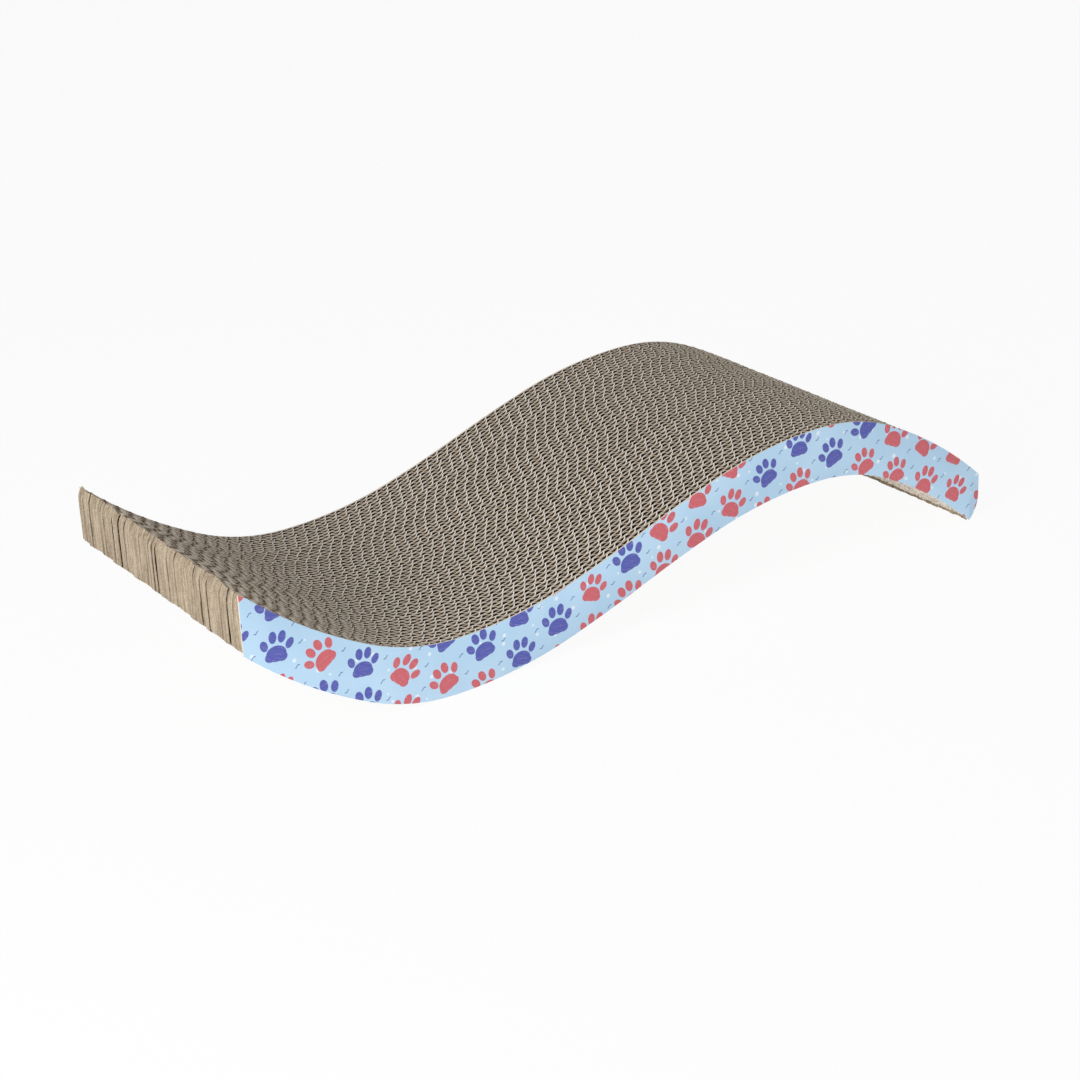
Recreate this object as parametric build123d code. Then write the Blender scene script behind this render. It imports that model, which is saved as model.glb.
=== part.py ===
from build123d import *
import os

# A wave-shaped cat scratcher. Strips of corrugated board, die-cut to one wave outline, stand on edge
# and are glued face to face across the width. A printed card closes each long side.
# Millimetres. X runs along the wave with the raised end at -X, Y across the strips, Z up from the floor.

# The wave that both edges of every strip follow.
length = 545.0
wave_rise = 62.0  # from the bottom of the trough to the top of the crest, along one edge
edge_depth = 35.5  # the upper edge lies this far above the lower one
edge_lean = 3.0  # and this far towards +X

# The raised end is a plain upright cut, whose two corners lie above the crest's level on each edge.
heel_lift = 4.2
tip_lift = 7.0

# The low end: its upper corner lies below the trough's level on that edge, and under an upright cut
# a nose curves in to the toe, which stands on the floor.
brow_drop = 4.2
nose_height = 17.0
toe_setback = 7.6

# The stack across the width: whole strips between two cards, as many as come nearest to the width.
width = 210.0
board_thickness = 4.0
card_thickness = 1.0
strip_count = round((width - 2 * card_thickness) / board_thickness)

# Knots of the wave from the raised end to its middle, as shares of the length and of the rise:
# the shoulder, the trough, the flank and the middle. A half turn about the middle gives the other half.
half_wave_shares = [(-0.357, 0.22), (-0.249, 0.0), (-0.0995, 0.198), (0.0, 0.5)]
trough_index = 1

# All knots of the wave: those of the first half, then the same ones turned about the middle.
turned_shares = [(-x_share, 1 - z_share) for x_share, z_share in reversed(half_wave_shares[:-1])]
wave_shares = half_wave_shares + turned_shares


def tangent_arcs(start, knots, direction):
    """Arcs from start through the knots, each leaving in the direction in which the last one arrived."""
    arcs = []
    for knot in knots:
        arcs.append(TangentArc(start, knot, tangent=direction))
        start, direction = arcs[-1] @ 1, arcs[-1] % 1
    return arcs


def wave_edge(raised_end, low_end, shift_x, shift_z):
    """One edge of a strip, built outwards from the bottom of its trough."""
    knots = [(x * length + shift_x, z * wave_rise + shift_z) for x, z in wave_shares]
    trough = knots[trough_index]
    to_raised_end = knots[:trough_index][::-1] + [raised_end]
    to_low_end = knots[trough_index + 1 :] + [low_end]
    return tangent_arcs(trough, to_raised_end, (-1, 0)) + tangent_arcs(trough, to_low_end, (1, 0))


def strip_outline():
    """The side view of a strip: both edges, the upright cut of the raised end, and the nose of the low end."""
    heel = (-length / 2, wave_rise + heel_lift)
    tip = (-length / 2, wave_rise + edge_depth + tip_lift)
    brow = (length / 2, edge_depth - brow_drop)
    nose = (length / 2, nose_height)
    toe = (length / 2 - toe_setback, 0)
    lower_edge = wave_edge(heel, toe, -edge_lean / 2, 0)
    upper_edge = wave_edge(tip, brow, edge_lean / 2, edge_depth)
    ends = [Line(heel, tip), Line(brow, nose), TangentArc(nose, toe, tangent=(0, -1))]
    return make_face(lower_edge + upper_edge + ends)


# Each layer of the stack is the same outline, as thick as its own board, laid from front to back.
stack_width = strip_count * board_thickness + 2 * card_thickness
layers = [("printed_card_front", card_thickness)]
layers += [(f"strip_{number:02d}", board_thickness) for number in range(1, strip_count + 1)]
layers += [("printed_card_back", card_thickness)]

os.makedirs("parts", exist_ok=True)
outline = strip_outline()
front = -stack_width / 2
for node, thickness in layers:
    side_view = Plane(origin=(0, front, 0), x_dir=(1, 0, 0), z_dir=(0, -1, 0))
    layer = extrude(side_view * outline, amount=-thickness)
    export_step(layer, f"parts/{node}.step")
    front += thickness
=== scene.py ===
import math
import random

import bpy
from mathutils import Matrix, Vector


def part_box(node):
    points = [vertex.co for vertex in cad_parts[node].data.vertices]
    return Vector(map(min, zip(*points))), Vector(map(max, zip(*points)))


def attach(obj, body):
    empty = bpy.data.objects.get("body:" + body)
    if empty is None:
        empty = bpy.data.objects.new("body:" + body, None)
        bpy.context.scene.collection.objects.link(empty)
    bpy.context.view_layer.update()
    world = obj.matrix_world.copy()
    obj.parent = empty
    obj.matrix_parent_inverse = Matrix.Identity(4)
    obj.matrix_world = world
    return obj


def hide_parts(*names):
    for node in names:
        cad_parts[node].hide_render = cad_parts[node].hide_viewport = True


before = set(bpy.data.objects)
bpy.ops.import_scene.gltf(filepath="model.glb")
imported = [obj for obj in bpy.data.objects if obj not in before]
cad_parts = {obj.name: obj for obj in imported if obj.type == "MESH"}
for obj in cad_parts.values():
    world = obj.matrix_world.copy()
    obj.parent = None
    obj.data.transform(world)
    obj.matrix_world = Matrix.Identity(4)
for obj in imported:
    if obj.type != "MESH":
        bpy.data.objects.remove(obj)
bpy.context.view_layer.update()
scene = bpy.context.scene

# The fluted strips: single-wall board, a fluted medium of brown kraft paper glued between two flat liners.
# Each strip is die-cut to the wave, stood on edge with its flutes upright and glued to the next one, so that
# the open flute ends make the scratching face. The cutter crushes the two ends shut.
strip_nodes = sorted(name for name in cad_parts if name.startswith("strip_"))
liner_paper_thickness = 0.00045  # with its glue
medium_paper_thickness = 0.00052
burr_thickness = 0.00022  # of the pale fuzz that the cutter's stroke raised on the walls that lean its way
flute_pitch = 0.0079
points_per_flute = 12
first_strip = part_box(strip_nodes[0])
strip_length = first_strip[1].x - first_strip[0].x
medium_points = round(strip_length / flute_pitch * points_per_flute)
liner_points = 150
phase_step, phase_spread = 0.265, 0.14  # of a pitch, from each strip to the next one
jump_share, jump_spread = 0.2, 0.25
strip_seed = 5

liner_light, liner_dark = (172, 156, 136), (130, 115, 97)
medium_light, medium_dark = (180, 163, 142), (138, 122, 104)
edge_light, edge_dark = (255, 250, 241), (226, 215, 199)
clean_cut = (240, 228, 210)
# The pale underside is partly torn paper and partly painted light from the white floor below.
torn_and_floor_lit = (248, 240, 230)
liner_edge_light, liner_edge_dark = (246, 235, 222), (200, 186, 170)
end_light, end_dark = (200, 184, 161), (128, 111, 90)
# The dark of the seams in the crushed ends is painted shade in their folds.
end_seam_shade = (96, 78, 58)
kraft_fleck = (112, 92, 70)
# The painted shade inside the flutes, in two steps: where a step starts and ends below a cut edge, and
# the shares of red, green and blue that it leaves.
liner_shade = [(0.0, 0.0004, (0.3, 0.25, 0.18)), (0.001, 0.0026, (0.35, 0.28, 0.2))]
medium_shade = [(0.0001, 0.0005, (0.13, 0.1, 0.07)), (0.0005, 0.001, (0.12, 0.1, 0.08))]
cloud_size, fibre_size, fleck_size, tuft_size = 0.018, 0.0004, 0.0011, 0.0024
fibre_stretch = (0.25, 1.0, 1.0)  # the fibres lie along the strips
fleck_limits, fleck_share = (0.66, 0.74), 0.6
tuft_limits, pale_underside_least, pale_underside_spread = (0.42, 0.58), 0.48, 0.5
paper_bump = 0.0001
edge_bump = 0.0002
paper_specular = 0.2


class Wire:
    """A socket that a node gives out. Arithmetic on wires adds Math nodes to their node tree."""

    def __init__(self, socket):
        self.socket = socket
        self.tree = socket.id_data

    @staticmethod
    def pick(sockets, name):
        """The first of these sockets that has that identifier or name."""
        return next(socket for socket in sockets if name in (socket.identifier, socket.name))

    @classmethod
    def node(cls, tree, kind, settings=None, sockets=None, output=None):
        """Adds a node of any kind: its settings, then a value, a wire or a list of wires for each socket."""
        made = tree.nodes.new(kind)
        for name, value in (settings or {}).items():
            setattr(made, name, value)
        for name, value in (sockets or {}).items():
            end = cls.pick(made.inputs, name)
            for item in value if isinstance(value, list) else [value]:
                if isinstance(item, Wire):
                    tree.links.new(item.socket, end)
                else:
                    end.default_value = item
        if not made.outputs:
            return None
        return cls(cls.pick(made.outputs, output) if output else made.outputs[0])

    def out(self, name):
        """Another output of the node that this wire comes from."""
        return Wire(self.pick(self.socket.node.outputs, name))

    def into(self, node, name):
        """Links this wire to a socket of a node that is already there."""
        self.tree.links.new(self.socket, self.pick(node.inputs, name))

    def maths(self, operation, other=0.0, swap=False):
        first, second = (other, self) if swap else (self, other)
        sockets = {"Value": first, "Value_001": second}
        return Wire.node(self.tree, "ShaderNodeMath", {"operation": operation}, sockets)

    def __add__(self, other):
        return self.maths("ADD", other)

    def __radd__(self, other):
        return self.maths("ADD", other, swap=True)

    def __sub__(self, other):
        return self.maths("SUBTRACT", other)

    def __rsub__(self, other):
        return self.maths("SUBTRACT", other, swap=True)

    def __mul__(self, other):
        return self.maths("MULTIPLY", other)

    def __rmul__(self, other):
        return self.maths("MULTIPLY", other, swap=True)

    def __truediv__(self, other):
        return self.maths("DIVIDE", other)

    def __rtruediv__(self, other):
        return self.maths("DIVIDE", other, swap=True)

    def __gt__(self, other):
        return self.maths("GREATER_THAN", other)

    def __abs__(self):
        return self.maths("ABSOLUTE")

    def fade(self, low, high):
        """0 where this wire is at low, 1 where it is at high, and smooth between them."""
        sockets = {"Value": self, "From Min": low, "From Max": high}
        return Wire.node(self.tree, "ShaderNodeMapRange", {"interpolation_type": "SMOOTHSTEP"}, sockets)

    def choose(self, low, high):
        """The number low where this wire is 0 and high where it is 1."""
        sockets = {"Factor_Float": self, "A_Float": low, "B_Float": high}
        return Wire.node(self.tree, "ShaderNodeMix", {"data_type": "FLOAT"}, sockets, "Result_Float")

    def tint(self, low, high):
        """The colour low where this wire is 0 and high where it is 1."""
        sockets = {"Factor_Float": self, "A_Color": low, "B_Color": high}
        return Wire.node(self.tree, "ShaderNodeMix", {"data_type": "RGBA"}, sockets, "Result_Color")

    def times(self, other):
        """This colour or vector multiplied by another, axis by axis."""
        sockets = {"Vector": self, "Vector_001": other}
        return Wire.node(self.tree, "ShaderNodeVectorMath", {"operation": "MULTIPLY"}, sockets, "Vector")

    def axes(self):
        """The three numbers of a vector wire."""
        parts = Wire.node(self.tree, "ShaderNodeSeparateXYZ", sockets={"Vector": self})
        return parts.out("X"), parts.out("Y"), parts.out("Z")

    def noise(self, size, detail=2.0):
        """Soft noise from 0 to 1 on this vector, in lumps of about that size."""
        sockets = {"Vector": self, "Scale": 1 / size, "Detail": detail}
        return Wire.node(self.tree, "ShaderNodeTexNoise", {}, sockets, "Fac")


def vector(tree, x, y, z):
    """A vector wire from three wires or numbers."""
    return Wire.node(tree, "ShaderNodeCombineXYZ", sockets={"X": x, "Y": y, "Z": z})


def colour(red, green, blue):
    """A colour given from 0 to 255 as it looks, in the linear light that shaders take."""
    shares = [channel / 255 for channel in (red, green, blue)]
    linear = [((share + 0.055) / 1.055) ** 2.4 if share > 0.04045 else share / 12.92 for share in shares]
    return (*linear, 1.0)


def new_finish(name):
    """A material with its node tree, its shader and a wire of the piece's own coordinates in metres."""
    material = bpy.data.materials.new(name)
    material.use_nodes = True
    tree = material.node_tree
    place = Wire.node(tree, "ShaderNodeTexCoord", output="Object")
    return material, tree, tree.nodes["Principled BSDF"], place


def kept(tree, name):
    """A number that the mesh keeps under a name, as a wire of a material."""
    settings = {"attribute_type": "GEOMETRY", "attribute_name": name}
    return Wire.node(tree, "ShaderNodeAttribute", settings, output="Fac")


def kraft_finish(name, light, dark, fibre_depth, shades=(), clean=None):
    """Raw kraft paper: clouds, long fibres, dark flecks, a tone per strip, and painted shade inside the
    flutes.
    """
    material, tree, shader, place = new_finish(name)
    board = first_strip[1].y - first_strip[0].y
    layer = {"Vector": vector(tree, (place.axes()[1] / board).maths("FLOOR"), 0.0, 0.0)}
    strip_tone = Wire.node(tree, "ShaderNodeTexWhiteNoise", {"noise_dimensions": "3D"}, layer, "Value")
    clouds = place.noise(cloud_size)
    fibres = place.times(fibre_stretch).noise(fibre_size, detail=4.0)
    flecks = place.times(fibre_stretch).noise(fleck_size).fade(*fleck_limits)
    tone = 0.35 * strip_tone + 0.35 * clouds + 0.5 * fibres - 0.1
    base = tone.tint(colour(*dark), colour(*light))
    base = (flecks * fleck_share).tint(base, colour(*kraft_fleck))
    if clean:
        base = kept(tree, "burr").tint(colour(*clean), base)
    if shades:
        # Painted light from the white floor: the underside turns paler, in tufts as of torn paper.
        tufts = place.noise(tuft_size, detail=3.0).fade(*tuft_limits)
        base = (kept(tree, "underside") * (pale_underside_least + pale_underside_spread * tufts)).tint(base, colour(*torn_and_floor_lit))
    # Painted shade: the paper darkens with its depth below a cut edge, inside the flutes.
    for start, end, share in shades:
        shade = kept(tree, "cut_distance").fade(start, end)
        base = base.times(shade.tint((1.0, 1.0, 1.0, 1.0), (*share, 1.0)))
    base.into(shader, "Base Color")
    (0.82 + 0.14 * fibres).into(shader, "Roughness")
    bump = {"Strength": 0.5, "Distance": fibre_depth, "Height": fibres}
    Wire.node(tree, "ShaderNodeBump", sockets=bump, output="Normal").into(shader, "Normal")
    shader.inputs["Specular IOR Level"].default_value = paper_specular
    return material


liner_paper = kraft_finish("liner_paper", liner_light, liner_dark, paper_bump, shades=liner_shade)
medium_paper = kraft_finish("medium_paper", medium_light, medium_dark, paper_bump, shades=medium_shade)
liner_edge = kraft_finish("liner_cut_edge", liner_edge_light, liner_edge_dark, edge_bump)
medium_edge = kraft_finish("medium_cut_edge", edge_light, edge_dark, edge_bump, clean=clean_cut)

streak_stretch = (0.3, 1.0, 0.07)  # the streaks on the crushed ends stand upright
tear_stretch = (1.0, 1.0, 0.6)
streak_size, fold_size, tear_size, seam_size, seam_patch = 0.0007, 0.003, 0.0007, 0.0012, 0.006
end_limits, seam_limits, patch_limits = (0.42, 0.84), (0.6, 0.7), (0.4, 0.6)
seam_shade_share = 0.65
end_bump = 0.0005


def crushed_finish():
    """Board that the cutter pressed flat: upright streaks, seams of folded paper darkened by painted shade,
    and torn fibres.
    """
    material, tree, shader, place = new_finish("pressed_end")
    upright = place.times(streak_stretch)
    streaks = upright.noise(streak_size, detail=3.0)
    folds = upright.noise(fold_size)
    tears = place.times(tear_stretch).noise(tear_size, detail=4.0)
    tone = 0.35 * streaks + 0.4 * folds + 0.5 * tears
    base = tone.fade(*end_limits).tint(colour(*end_dark), colour(*end_light))
    # Painted shade in the seams, where the folded paper also sinks.
    seams = upright.noise(seam_size).fade(*seam_limits) * place.noise(seam_patch).fade(*patch_limits)
    (seams * seam_shade_share).tint(base, colour(*end_seam_shade)).into(shader, "Base Color")
    (0.84 + 0.12 * tears).into(shader, "Roughness")
    height = streaks + 0.6 * tears - 0.5 * seams
    bump = {"Strength": 0.8, "Distance": end_bump, "Height": height}
    Wire.node(tree, "ShaderNodeBump", sockets=bump, output="Normal").into(shader, "Normal")
    shader.inputs["Specular IOR Level"].default_value = paper_specular
    return material


pressed_end = crushed_finish()

strip_inputs = {
    "Strip Solid": "NodeSocketObject",
    "Flute Pitch": "NodeSocketFloat",
    "Flute Phase": "NodeSocketFloat",
    "Liner Thickness": "NodeSocketFloat",
    "Medium Thickness": "NodeSocketFloat",
    "Burr Thickness": "NodeSocketFloat",
    "Medium Points": "NodeSocketInt",
    "Liner Points": "NodeSocketInt",
    "Front Gap": "NodeSocketFloat",
    "Rear Gap": "NodeSocketFloat",
    "Top Sink": "NodeSocketFloat",
    "Bottom Lift": "NodeSocketFloat",
    "End Depth": "NodeSocketFloat",
    "End Tilt": "NodeSocketFloat",
    "Tip Lean": "NodeSocketFloat",
    "Seed": "NodeSocketFloat",
    "Liner Paper": "NodeSocketMaterial",
    "Medium Paper": "NodeSocketMaterial",
    "Liner Edge": "NodeSocketMaterial",
    "Medium Edge": "NodeSocketMaterial",
    "Pressed End": "NodeSocketMaterial",
}
ray_clearance = 0.01
ray_inset = 0.00001
weld_distance = 0.000001
sheet_rows = 4  # of an upright sheet: both cut edges, and a row behind each
inner_share = (sheet_rows - 1) / (sheet_rows - 2)  # makes the inner rows' distance from the edges 1
outermost = 0.9  # a share that only the last row of a sheet passes
end_setback = 0.0026  # of the liners and the medium behind the crushed ends
gap_reach = 0.025  # from the raised end, along which neighbours may have come apart
cut_depth = 0.004  # from a cut edge to the row behind it
fray_size = 0.0018
underside_shade = 0.12  # how fast the painted shade darkens the flutes below, where torn paper closes them and the floor lights them, against above
medium_fray = 0.0003
underside_fray = 4.0  # times as much below, where the cutter tears its way out
liner_fray = 0.00025
flute_wander = 0.3  # of a pitch
wander_length = 0.03
wander_step = 0.37  # between the wanderings of neighbours
wall_steepness = 1.6
liner_sink = 0.00038
burr_limits = (-0.2, 0.6)  # of the walls' lean, between no burr and all of it
crest_shade_setback = 0.0006  # how much lower the painted shade of the flutes starts on the crests that face the front, which stay pale
crest_limits = (0.6, 0.95)
glued_share = 0.51  # of the papers' thickness, so that the crests just clear the liners
clean_sink = 0.0003  # of the medium where it has no burr
tip_drop = 0.0042
tip_reach = 0.007
bend_height = 0.007
bend_reach = 0.009
nose_foot = 0.0004
nose_blend = 0.001
nose_shift = 0.0035  # of the flutes' lower edges past the toe, where they stay behind the crushed nose
end_columns, end_rows = 7, 12
curl_reach = 0.0045  # of the crushed paper in under the heel of the raised end
plate_lap = 0.9  # of a liner's thickness, by which a crushed end covers the liners
end_relief = 0.0006
relief_height, relief_size = 0.004, 0.0012
parted_height, parted_width, parted_size, parted_limits = 0.035, 0.03, 0.011, (0.38, 0.62)


def new_tree(name, inputs):
    """An empty geometry node tree with these inputs: the tree, its inputs as wires and their identifiers."""
    tree = bpy.data.node_groups.new(name, "GeometryNodeTree")
    names = {}
    for key, kind in inputs.items():
        names[key] = tree.interface.new_socket(key, in_out="INPUT", socket_type=kind).identifier
    tree.interface.new_socket("Geometry", in_out="OUTPUT", socket_type="NodeSocketGeometry")
    given = Wire.node(tree, "NodeGroupInput")
    return tree, {key: given.out(key) for key in inputs}, names


class Solid:
    """A CAD solid inside a geometry node tree: its corners, and where lines along X or Z meet it."""

    def __init__(self, tree, owner):
        self.tree = tree
        self.shape = Wire.node(tree, "GeometryNodeObjectInfo", sockets={"Object": owner}, output="Geometry")
        corners = Wire.node(tree, "GeometryNodeBoundBox", sockets={"Geometry": self.shape}, output="Min")
        self.left, self.front, self.bottom = corners.axes()
        self.right, self.rear, self.top = corners.out("Max").axes()
        self.middle = (self.front + self.rear) / 2

    def met(self, start, direction):
        sockets = {"Target Geometry": self.shape, "Source Position": start, "Ray Direction": direction}
        return Wire.node(self.tree, "GeometryNodeRaycast", {}, sockets, "Hit Position").axes()

    def heights(self, x):
        """The heights of the lower and the upper edge at x."""
        inside = x.maths("MAXIMUM", self.left + ray_inset).maths("MINIMUM", self.right - ray_inset)
        below = vector(self.tree, inside, self.middle, self.bottom - ray_clearance)
        above = vector(self.tree, inside, self.middle, self.top + ray_clearance)
        return self.met(below, (0, 0, 1))[2], self.met(above, (0, 0, -1))[2]

    def right_end(self, z):
        """How far the low end reaches along X at height z."""
        outside = vector(self.tree, self.right + ray_clearance, self.middle, z)
        return self.met(outside, (-1, 0, 0))[0]


def grid_shares(tree):
    """Two wires that run from 0 to 1 along the sides of a unit grid."""
    across, along, _ = Wire.node(tree, "GeometryNodeInputPosition").axes()
    return across + 0.5, along + 0.5


def crowded(share):
    """From -1 to 1 as a share runs from 0 to 1, with points that crowd towards both ends."""
    even = 2 * share - 1
    return 1.5 * even - 0.5 * even * even * even


def noted(shape, kind, domain, name, value):
    """The same geometry with a value kept on it under a name."""
    settings = {"data_type": kind, "domain": domain}
    sockets = {"Geometry": shape, "Name": name, "Value": value}
    return Wire.node(shape.tree, "GeometryNodeStoreNamedAttribute", settings, sockets)


def sheet(tree, columns, rows, position, mark=None, notes=None):
    """A grid of paper that is moved to a position, with a mark on its faces and numbers on its points."""
    size = {"Size X": 1.0, "Size Y": 1.0, "Vertices X": columns, "Vertices Y": rows}
    grid = Wire.node(tree, "GeometryNodeMeshGrid", sockets=size, output="Mesh")
    for name, value in (notes or {}).items():
        grid = noted(grid, "FLOAT", "POINT", name, value)
    if mark:
        grid = noted(grid, "BOOLEAN", "FACE", mark, True)
    return Wire.node(tree, "GeometryNodeSetPosition", sockets={"Geometry": grid, "Position": position})


def stored(tree, name, kind="BOOLEAN"):
    """What the sheets keep under a name: a mark that is true on one kind of sheet, or a number."""
    settings, sockets = {"data_type": kind}, {"Name": name}
    return Wire.node(tree, "GeometryNodeInputNamedAttribute", settings, sockets, "Attribute")


def thickened(tree, sheets, thickness):
    """Closed boards from flat sheets, with a wire that is true on their cut edges."""
    flat = Wire.node(tree, "GeometryNodeJoinGeometry", sockets={"Geometry": sheets})
    normal = Wire.node(tree, "GeometryNodeInputNormal", output="Normal")
    half_back = {"Vector": normal, "Scale": thickness * -0.5}
    offset = Wire.node(tree, "ShaderNodeVectorMath", {"operation": "SCALE"}, half_back, "Vector")
    base = Wire.node(tree, "GeometryNodeSetPosition", sockets={"Geometry": flat, "Offset": offset})
    grown = {"Mesh": base, "Offset Scale": thickness, "Individual": False}
    front = Wire.node(tree, "GeometryNodeExtrudeMesh", {"mode": "FACES"}, grown, "Mesh")
    back = Wire.node(tree, "GeometryNodeFlipFaces", sockets={"Mesh": base})
    both = Wire.node(tree, "GeometryNodeJoinGeometry", sockets={"Geometry": [front, back]})
    weld = {"Geometry": both, "Distance": weld_distance}
    return Wire.node(tree, "GeometryNodeMergeByDistance", sockets=weld), front.out("Side")


def finished(tree, boards, materials):
    """Ends a tree: smooth faces, real geometry, and materials, each with a wire that says where it goes."""
    smooth = Wire.node(tree, "GeometryNodeSetShadeSmooth", sockets={"Geometry": boards})
    whole = Wire.node(tree, "GeometryNodeRealizeInstances", sockets={"Geometry": smooth})
    for where, material in materials:
        sockets = {"Geometry": whole, "Selection": where, "Material": material}
        whole = Wire.node(tree, "GeometryNodeSetMaterial", sockets=sockets)
    Wire.node(tree, "NodeGroupOutput", sockets={"Geometry": whole})


def strip_tree():
    """The rule of every strip: two liners, the fluted medium between them and the two crushed ends."""
    tree, given, names = new_tree("corrugated_strip", strip_inputs)
    solid = Solid(tree, given["Strip Solid"])
    across, along = grid_shares(tree)
    outer = abs(2 * along - 1)  # 1 on both cut edges
    foot = solid.bottom + nose_foot
    toe = solid.right_end(foot)
    upper = along > 0.5

    def cut_sheet(x, fray, sink=0.0):
        """The rows of an upright sheet at x: the leaning tip's x, the height and the depth below a cut."""
        tip = (1 - (x - solid.left) / bend_reach).maths("MAXIMUM", 0.0)
        leaning = x + given["Tip Lean"] * tip * (along > outermost)
        nose = (leaning - toe).fade(-nose_blend, nose_blend)
        low, high = solid.heights(leaning + nose_shift * nose)[0], solid.heights(leaning)[1]
        rounding = (1 - (leaning - solid.left) / tip_reach).maths("MAXIMUM", 0.0)
        ragged = vector(tree, x, given["Seed"], along).noise(fray_size) * (outer > outermost)
        ragged = ragged * upper.choose(fray * underside_fray, fray)
        inward = cut_depth * inner_share * (1 - outer)
        inset = inward + ragged + sink
        lowest = low + given["Bottom Lift"] + inset
        highest = high - given["Top Sink"] - tip_drop * rounding * rounding - inset
        return leaning, upper.choose(lowest, highest), inward * upper.choose(underside_shade, 1.0)

    run = solid.right - solid.left - 2 * end_setback

    # Neighbours that have come apart at the raised end leave a gap that closes along the strip.
    def liner_places(x, parted=1.0):
        apart = (1 - (x - solid.left) / gap_reach).maths("MAXIMUM", 0.0)
        apart = apart * apart * parted
        front = solid.front + given["Liner Thickness"] / 2 + given["Front Gap"] * apart
        rear = solid.rear - given["Liner Thickness"] / 2 - given["Rear Gap"] * apart
        return front, rear

    # The liners' points crowd towards both ends, where the outline turns fastest.
    liner_x = solid.left + end_setback + run * (0.5 + 0.5 * crowded(across))
    leaning, height, depth = cut_sheet(liner_x, liner_fray, liner_sink)
    sheets = []
    for y in liner_places(liner_x):
        position = vector(tree, leaning, y, height)
        notes = {"cut_distance": depth, "underside": 1 - upper}
        sheets.append(sheet(tree, given["Liner Points"], sheet_rows, position, notes=notes))

    # The medium's plan is a wave with steep walls and flattened crests where it is glued to the liners.
    medium_x = solid.left + end_setback + run * across
    wander = vector(tree, medium_x, given["Seed"] * wander_step, 0.0).noise(wander_length) - 0.5
    turn = 2 * math.pi * (medium_x / given["Flute Pitch"] - given["Flute Phase"] + flute_wander * wander)
    swing = (wall_steepness * turn.maths("SINE")).maths("TANH") / math.tanh(wall_steepness)
    front, rear = liner_places(medium_x)
    reach = (rear - front) / 2 - glued_share * (given["Liner Thickness"] + given["Medium Thickness"])
    burr = turn.maths("COSINE").fade(*burr_limits)
    leaning, height, depth = cut_sheet(medium_x, medium_fray, clean_sink * (1 - burr))
    position = vector(tree, leaning, (front + rear) / 2 + reach * swing, height)
    crest = (-1 * turn.maths("SINE")).fade(*crest_limits) * upper
    notes = {
        "cut_distance": depth - crest_shade_setback * crest,
        "burr": upper.choose(1.0, burr),
        "underside": 1 - upper,
    }
    sheets.append(sheet(tree, given["Medium Points"], sheet_rows, position, "medium", notes))

    # The crushed ends: paper that the cutter pushed over, in upright streaks. On the raised end its top bends
    # inwards at the tip, and its lowest row curls in under the heel.
    def plate_y(front, rear):
        return (front + rear) / 2 + (rear - front + plate_lap * given["Liner Thickness"]) * (across - 0.5)

    patches = vector(tree, along * parted_height, given["Seed"], across * parted_width)
    parted = patches.noise(parted_size).fade(*parted_limits)
    y = plate_y(*liner_places(solid.left, parted))
    curl = (1 - along * (end_rows - 1)).maths("MAXIMUM", 0.0)
    rise = (1 - (1 - along) * (end_rows - 1) / (end_rows - 2)).maths("MAXIMUM", 0.0)
    relief = vector(tree, y, given["Seed"], along * relief_height).noise(relief_size) * end_relief
    pressed = given["End Depth"] + given["End Tilt"] * (across - 0.5) + relief
    tip_x = solid.left + given["Tip Lean"]
    rounding = (1 - given["Tip Lean"] / tip_reach).maths("MAXIMUM", 0.0)
    heel = solid.heights(solid.left + curl_reach * curl)[0] + given["Bottom Lift"]
    tip = solid.heights(tip_x)[1] - given["Top Sink"] - tip_drop * rounding * rounding
    height = heel + (tip - heel) * (1 - (1 - rise) * (1 - rise))
    bend = ((height - tip + bend_height) / bend_height).maths("MAXIMUM", 0.0)
    raised_x = solid.left + given["Liner Thickness"] / 2 + pressed + given["Tip Lean"] * bend * bend
    raised_x = raised_x + curl_reach * curl
    sheets.append(sheet(tree, end_columns, end_rows, vector(tree, raised_x, y, height), mark="pressed"))
    y = plate_y(*liner_places(solid.right))
    height = foot + (solid.heights(solid.right)[1] - given["Top Sink"] - foot) * along
    nose_x = solid.right_end(height) - given["Liner Thickness"] / 2 - pressed
    sheets.append(sheet(tree, end_columns, end_rows, vector(tree, nose_x, y, height), mark="pressed"))

    medium = stored(tree, "medium")
    fuzzy = given["Medium Thickness"] + given["Burr Thickness"] * stored(tree, "burr", "FLOAT")
    boards, edges = thickened(tree, sheets, medium.choose(given["Liner Thickness"], fuzzy))
    finished(tree, boards, [
        (True, given["Liner Paper"]),
        (medium, given["Medium Paper"]),
        (edges, given["Liner Edge"]),
        (edges * medium, given["Medium Edge"]),
        (stored(tree, "pressed"), given["Pressed End"]),
    ])
    return tree, names


def grown_piece(name, tree, names, values):
    """A new object whose mesh a node tree will make, with the tree's inputs set."""
    piece = bpy.data.objects.new(name, bpy.data.meshes.new(name))
    scene.collection.objects.link(piece)
    modifier = piece.modifiers.new("rule", "NODES")
    modifier.node_group = tree
    for key, value in values.items():
        modifier[names[key]] = value
    return piece


def settle(piece, fold):
    """Turns a piece's modifiers into a plain mesh, with sharp edges where faces fold by more than that."""
    evaluated = piece.evaluated_get(bpy.context.evaluated_depsgraph_get())
    mesh = bpy.data.meshes.new_from_object(evaluated)
    if mesh.materials[0] is None:
        mesh.materials.pop(index=0)
    mesh.set_sharp_from_angle(angle=fold)
    piece.modifiers.clear()
    piece.data = mesh


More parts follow.
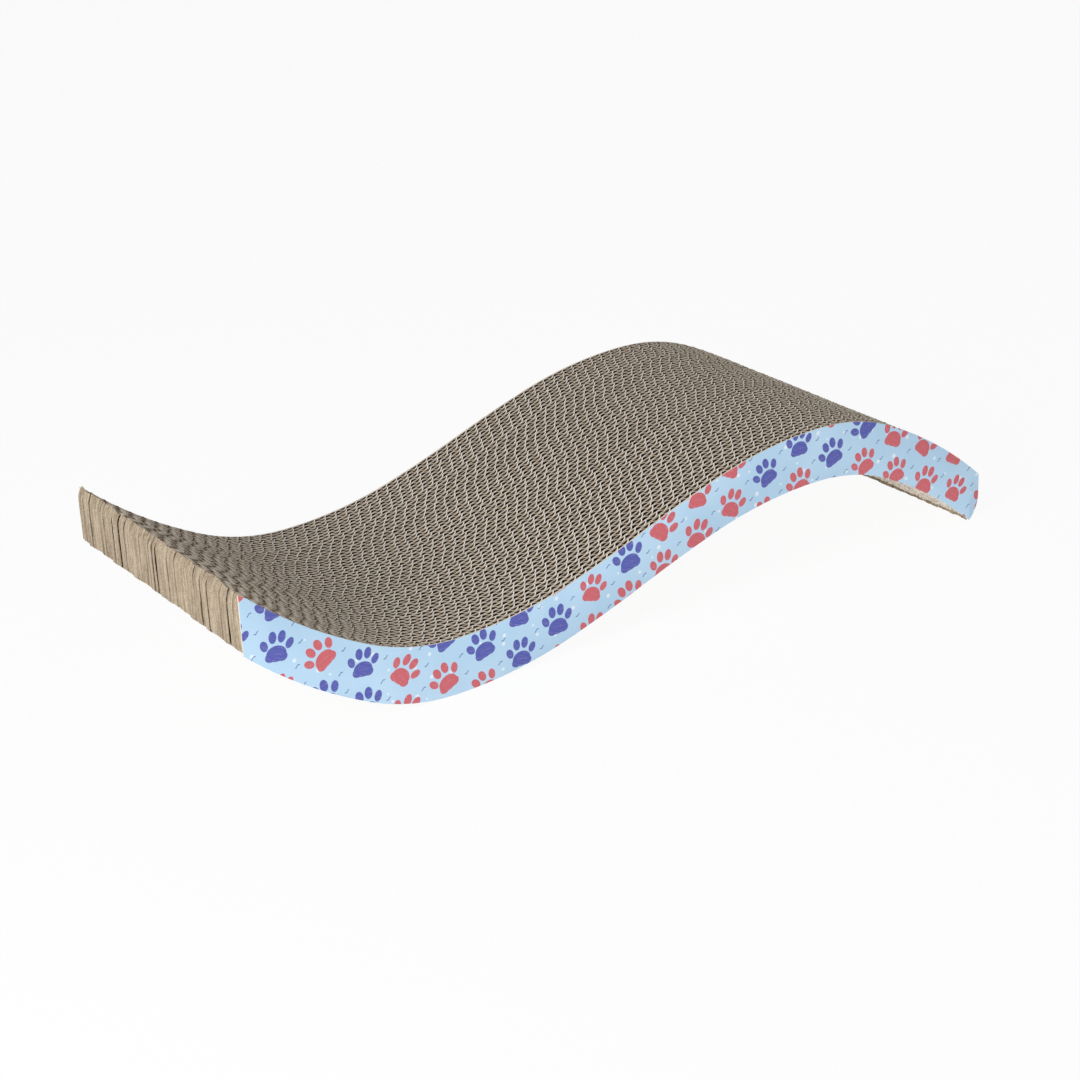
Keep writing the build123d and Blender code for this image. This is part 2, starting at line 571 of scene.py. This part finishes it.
parted_share = 0.22  # of the strips that have come apart from the next one at the raised end
parted_gap, closed_gap = (0.0002, 0.0006), (0.00005, 0.0002)
strip_fold = math.radians(55)
draw = random.Random(strip_seed)
flutes, flute_names = strip_tree()
strips = {}
phase = draw.random()
gap = 0.0
for number, node in enumerate(strip_nodes):
    next_gap = draw.uniform(*(parted_gap if draw.random() < parted_share else closed_gap))
    strips[node] = grown_piece(f"fluted_{node}", flutes, flute_names, {
        "Strip Solid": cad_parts[node],
        "Flute Pitch": flute_pitch,
        "Flute Phase": phase,
        "Liner Thickness": liner_paper_thickness,
        "Medium Thickness": medium_paper_thickness,
        "Burr Thickness": burr_thickness,
        "Medium Points": medium_points,
        "Liner Points": liner_points,
        "Front Gap": gap,
        "Rear Gap": next_gap,
        "Top Sink": draw.uniform(0.0, 0.0004),
        "Bottom Lift": draw.uniform(0.0, 0.001),
        "End Depth": draw.uniform(0.0004, 0.0014),
        "End Tilt": draw.uniform(-0.0006, 0.0006),
        "Tip Lean": draw.uniform(0.002, 0.0036),
        "Seed": float(number),
        "Liner Paper": liner_paper,
        "Medium Paper": medium_paper,
        "Liner Edge": liner_edge,
        "Medium Edge": medium_edge,
        "Pressed End": pressed_end,
    })
    phase += draw.gauss(phase_step, jump_spread if draw.random() < jump_share else phase_spread)
    gap = next_gap
for node, piece in strips.items():
    settle(piece, strip_fold)
    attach(piece, "root")
    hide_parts(node)

# The printed cards: one sheet of white-cored card on each long side, printed before it is die-cut to the wave
# and glued to the outermost strip. The print is a generic one of paw marks and dots on light blue.
ground_light, ground_dark = (198, 226, 248), (164, 202, 231)
coral = (206, 92, 98)
indigo = (76, 82, 170)
chalk = (226, 206, 220)
ink = (60, 86, 150)
dot_white = (238, 247, 252)
raw_light = (242, 233, 217)
raw_dark = (206, 193, 172)
motif_pitch_x, motif_pitch_z = 0.0265, 0.0262
motif_scale, motif_least, motif_spread = 1.22, 0.93, 0.14
motif_turn = 1.5
motif_edge = 0.00018
front_seed, rear_seed = 3.0, 7.0
motif_cover = 0.97
dot_pitch = 0.0125
dot_least, dot_spread, dot_edge = 0.02, 0.1, 0.025  # of the dots' pitch
dot_from, dot_cover = 0.3, 0.75
grain_size, wash_size = 0.0006, 0.045
wash_limits, wash_least, wash_spread, grain_spread = (0.3, 0.75), 0.36, 0.35, 0.2
stamp_size, stamp_stretch = 0.0007, (1.0, 0.25, 1.0)
worn_limits, worn_share = (0.5, 0.72), 0.45
dash_drop, dash_cosine, dash_sine = 0.0016, 0.94, 0.34
dash_wave, dash_wave_length = 0.0005, 0.0022
dash_half_width, dash_half_length = 0.00032, 0.0034
dash_edge, dash_end, dash_cover = 0.00015, 0.0003, 0.85
print_bump, print_specular = 0.00005, 0.35
pulp_stretch = (0.3, 6.0, 1.0)
soil_size, soil_limits, soil_share = 0.02, (0.5, 0.8), 0.35
raw_bump = 0.0001
card_points, card_rows = 520, 2
card_nick, nick_size = 0.0003, 0.002
card_tip_drop = 0.002
card_bevel = 0.00015
card_fold, bevel_fold = math.radians(50), math.radians(60)
# Each card's outward direction, and how far its ends and its edges lie inside its solid.
card_sides = {"front": (-1.0, 0.0004, 0.0), "back": (1.0, 0.0035, 0.0009)}


def card_print():
    """Matt print: paw marks in a half-drop repeat, in two colours, over pale dots and short ink dashes."""
    material, tree, shader, place = new_finish("card_print")
    x, y, z = place.axes()
    column = (x / motif_pitch_x).maths("FLOOR")
    drop = column.maths("PINGPONG", 1.0) * 0.5
    row = (z / motif_pitch_z + drop).maths("FLOOR")
    side = front_seed + (rear_seed - front_seed) * (y > 0.0)
    cell = {"Vector": vector(tree, column, row, side)}
    chance = Wire.node(tree, "ShaderNodeTexWhiteNoise", {"noise_dimensions": "3D"}, cell, "Color")
    turn_chance, colour_chance, size_chance = chance.axes()
    local_x = x - (column + 0.5) * motif_pitch_x
    local_z = z - (row - drop + 0.5) * motif_pitch_z
    angle = (turn_chance - 0.5) * motif_turn
    cosine, sine = angle.maths("COSINE"), angle.maths("SINE")
    size = motif_scale * (motif_least + motif_spread * size_chance)
    a = (local_x * cosine + local_z * sine) / size
    b = (local_z * cosine - local_x * sine) / size

    def oval(centre_x, centre_z, half_width, half_height, lean=0.0):
        """1 inside an oval that leans by an angle, 0 outside it."""
        from_x, from_z = a - centre_x, b - centre_z
        u = (from_x * math.cos(lean) + from_z * math.sin(lean)) / half_width
        v = (from_z * math.cos(lean) - from_x * math.sin(lean)) / half_height
        distance = ((u * u + v * v).maths("SQRT") - 1) * min(half_width, half_height)
        return distance.fade(motif_edge, -motif_edge)

    pads = [
        oval(0.0, -0.0032, 0.0052, 0.0040),
        oval(-0.0031, -0.0048, 0.0027, 0.0024),
        oval(0.0031, -0.0048, 0.0027, 0.0024),
        oval(-0.0066, 0.0012, 0.0019, 0.0028, 0.45),
        oval(-0.0024, 0.0049, 0.0020, 0.0030, 0.12),
        oval(0.0024, 0.0049, 0.0020, 0.0030, -0.12),
        oval(0.0066, 0.0012, 0.0019, 0.0028, -0.45),
    ]
    paw = pads[0]
    for pad in pads[1:]:
        paw = paw.maths("MAXIMUM", pad)

    plane = vector(tree, x, z, 0.0)
    dots = {"Vector": plane, "Scale": 1 / dot_pitch, "Randomness": 0.85}
    settings = {"voronoi_dimensions": "2D", "feature": "F1"}
    dot = Wire.node(tree, "ShaderNodeTexVoronoi", settings, dots, "Distance")
    dot_size = dot.out("Color").axes()[0]
    dot_mask = (dot - dot_least - dot_spread * dot_size).fade(dot_edge, -dot_edge) * (dot_size > dot_from)
    grain = place.noise(grain_size, detail=3.0)
    wash = place.noise(wash_size).fade(*wash_limits)
    tone = wash_least + wash * wash_spread + grain * grain_spread
    ground = tone.tint(colour(*ground_dark), colour(*ground_light))
    ground = (dot_mask * dot_cover).tint(ground, colour(*dot_white))
    dash_x = x - ((x / motif_pitch_x + 0.5).maths("FLOOR")) * motif_pitch_x
    dash_z = z - (row - drop + 1.0) * motif_pitch_z + dash_drop
    dash_u = dash_x * dash_cosine + dash_z * dash_sine
    dash_v = dash_z * dash_cosine - dash_x * dash_sine
    dash_v = dash_v + dash_wave * (dash_u * (math.pi / dash_wave_length)).maths("SINE")
    dash = (abs(dash_v) - dash_half_width).fade(dash_edge, -dash_edge)
    dash = dash * (abs(dash_u) - dash_half_length).fade(dash_end, -dash_end)
    inked = (dash * dash_cover).tint(ground, colour(*ink))
    pick = (colour_chance > 0.5).tint(colour(*coral), colour(*indigo))
    skewed = vector(tree, a * 0.3 + b, b - a * 0.1, 0.0)
    streaks = skewed.times(stamp_stretch).noise(stamp_size, detail=3.0)
    worn = (0.5 * grain + 0.5 * streaks).fade(*worn_limits) * worn_share
    stamped = worn.tint(pick, colour(*chalk))
    (paw * motif_cover).tint(inked, stamped).into(shader, "Base Color")
    (0.55 + 0.12 * grain).into(shader, "Roughness")
    bump = {"Strength": 0.25, "Distance": print_bump, "Height": grain}
    Wire.node(tree, "ShaderNodeBump", sockets=bump, output="Normal").into(shader, "Normal")
    shader.inputs["Specular IOR Level"].default_value = print_specular
    return material


def raw_card():
    """The card's cut edge: pale pulp in thin layers, a little grey where it was handled."""
    material, tree, shader, place = new_finish("card_raw_edge")
    layers = place.times(pulp_stretch).noise(grain_size, detail=3.0)
    soil = place.noise(soil_size).fade(*soil_limits)
    pulp = layers.tint(colour(*raw_dark), colour(*raw_light))
    (soil * soil_share).tint(pulp, colour(*raw_dark)).into(shader, "Base Color")
    (0.85 + 0.1 * layers).into(shader, "Roughness")
    bump = {"Strength": 0.4, "Distance": raw_bump, "Height": layers}
    Wire.node(tree, "ShaderNodeBump", sockets=bump, output="Normal").into(shader, "Normal")
    return material


card_inputs = {
    "Card Solid": "NodeSocketObject",
    "Outward": "NodeSocketFloat",
    "End Inset": "NodeSocketFloat",
    "Edge Inset": "NodeSocketFloat",
    "Card Points": "NodeSocketInt",
    "Print": "NodeSocketMaterial",
    "Raw Edge": "NodeSocketMaterial",
}


def card_tree():
    """The rule of both cards: one flat sheet with nicked edges, as thick as its solid."""
    tree, given, names = new_tree("printed_card", card_inputs)
    solid = Solid(tree, given["Card Solid"])
    across, along = grid_shares(tree)
    start = solid.left + given["End Inset"]
    x = (start + solid.right) / 2 + (solid.right - start) / 2 * crowded(across)
    low, high = solid.heights(x)
    nick = vector(tree, x, solid.middle, along).noise(nick_size) * card_nick
    inset = given["Edge Inset"] + nick
    rounding = (1 - (x - solid.left) / tip_reach).maths("MAXIMUM", 0.0)
    height = along.choose(low + inset, high - inset - card_tip_drop * rounding * rounding)
    card = sheet(tree, given["Card Points"], card_rows, vector(tree, x, solid.middle, height))
    boards = thickened(tree, [card], solid.rear - solid.front)[0]
    facing = Wire.node(tree, "GeometryNodeInputNormal", output="Normal").axes()[1]
    finished(tree, boards, [(True, given["Raw Edge"]), (facing * given["Outward"] > 0.5, given["Print"])])
    return tree, names


card_rule, card_names = card_tree()
print_finish, raw_finish = card_print(), raw_card()
cards = {}
for side, (outward, end_inset, edge_inset) in card_sides.items():
    node = f"printed_card_{side}"
    values = {
        "Card Solid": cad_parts[node],
        "Outward": outward,
        "End Inset": end_inset,
        "Edge Inset": edge_inset,
        "Card Points": card_points,
        "Print": print_finish,
        "Raw Edge": raw_finish,
    }
    cards[node] = grown_piece(f"{side}_card", card_rule, card_names, values)
    bevel = cards[node].modifiers.new("worn_edges", "BEVEL")
    bevel.width = card_bevel
    bevel.segments = 2
    bevel.limit_method = "ANGLE"
    bevel.angle_limit = bevel_fold
for node, card in cards.items():
    settle(card, card_fold)
    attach(card, "root")
    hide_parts(node)

# The floor: a plain white studio sweep on which the scratcher stands. The camera sees it as white, and the
# scratcher's soft shadow stays on it.
white = (1.0, 1.0, 1.0, 1.0)
floor_size = 12.0
floor_white = (0.86, 0.86, 0.86, 1.0)
shadow_share = 0.07  # of the floor's look that its own light and shadow make
lifted_share = 0.75  # of the floor's white that lights the underside


def camera_sees(tree):
    """1 for rays from the camera and for those that a gloss or a glass passes on."""
    path = Wire.node(tree, "ShaderNodeLightPath")
    seen = path.out("Is Camera Ray").maths("MAXIMUM", path.out("Is Glossy Ray"))
    return seen.maths("MAXIMUM", path.out("Is Transmission Ray"))


floor_finish, floor_tree, floor_shader, _ = new_finish("studio_floor")
floor_shader.inputs["Base Color"].default_value = floor_white
floor_shader.inputs["Roughness"].default_value = 0.9
floor_shader.inputs["Specular IOR Level"].default_value = 0.0
glow = Wire.node(floor_tree, "ShaderNodeEmission", sockets={"Color": white, "Strength": 1.0})
white_share = camera_sees(floor_tree).choose(lifted_share, 1 - shadow_share)
lit = {"Fac": white_share, "Shader": Wire(floor_shader.outputs[0]), "Shader_001": glow}
floor_out = floor_tree.nodes["Material Output"]
Wire.node(floor_tree, "ShaderNodeMixShader", sockets=lit).into(floor_out, "Surface")
half = floor_size / 2
floor_mesh = bpy.data.meshes.new("studio_floor")
corners = [(-half, -half, 0.0), (half, -half, 0.0), (half, half, 0.0), (-half, half, 0.0)]
floor_mesh.from_pydata(corners, [], [(0, 1, 2, 3)])
floor_mesh.materials.append(floor_finish)
floor = bpy.data.objects.new("studio_floor", floor_mesh)
scene.collection.objects.link(floor)

# The light: an even white tent, a large soft lamp on the left, and weaker ones in front and on the right.
# Behind all of it the camera sees a white backdrop that adds no light.
tent_strength = 0.26
backdrop_strength = 0.96
world = bpy.data.worlds.new("studio_tent")
scene.world = world
world.use_nodes = True
tent_tree = world.node_tree
tent = tent_tree.nodes["Background"]
tent.inputs["Color"].default_value = white
tent.inputs["Strength"].default_value = tent_strength
behind = {"Color": white, "Strength": backdrop_strength}
backdrop = Wire.node(tent_tree, "ShaderNodeBackground", sockets=behind)
seen = {"Fac": camera_sees(tent_tree), "Shader": Wire(tent.outputs[0]), "Shader_001": backdrop}
Wire.node(tent_tree, "ShaderNodeMixShader", sockets=seen).into(tent_tree.nodes["World Output"], "Surface")


def soft_lamp(name, place, size, share):
    """A square lamp that points at the scratcher and gives that share of plain daylight there."""
    lamp = bpy.data.lights.new(name, "AREA")
    lamp.size = size
    lamp.energy = share * (math.pi * Vector(place).length) ** 2
    holder = bpy.data.objects.new(name, lamp)
    holder.location = place
    holder.rotation_euler = (-Vector(place)).to_track_quat("-Z", "Y").to_euler()
    scene.collection.objects.link(holder)


soft_lamp("key_lamp", (-1.35, -0.6, 0.75), 0.8, 0.73)
soft_lamp("fill_lamp", (0.1, -2.2, 1.0), 1.2, 0.11)
soft_lamp("top_lamp", (1.1, -0.4, 1.6), 1.0, 0.08)

# The camera: in front of the scratcher and to its left, looking a little down on it through a long lens, and
# tipped slightly to one side.
camera_azimuth = math.radians(-33.305)
camera_elevation = math.radians(23.302)
camera_roll = math.radians(-2.649)
camera_distance = 1.5936
camera_target = Vector((-0.00684, 0.0, 0.02649))
lens, sensor = 83.48, 36.0
back = Vector((
    math.sin(camera_azimuth) * math.cos(camera_elevation),
    -math.cos(camera_azimuth) * math.cos(camera_elevation),
    math.sin(camera_elevation),
))
level = Vector((math.cos(camera_azimuth), math.sin(camera_azimuth), 0.0))
upright = back.cross(level)
right = level * math.cos(camera_roll) + upright * math.sin(camera_roll)
up = upright * math.cos(camera_roll) - level * math.sin(camera_roll)
camera = bpy.data.objects.new("camera", bpy.data.cameras.new("camera"))
camera.data.lens = lens
camera.data.sensor_width = sensor
turned = Matrix((right, up, back)).transposed().to_4x4()
camera.matrix_world = Matrix.Translation(camera_target + back * camera_distance) @ turned
scene.collection.objects.link(camera)
scene.camera = camera
scene.view_settings.view_transform = "Standard"

bpy.context.view_layer.update()
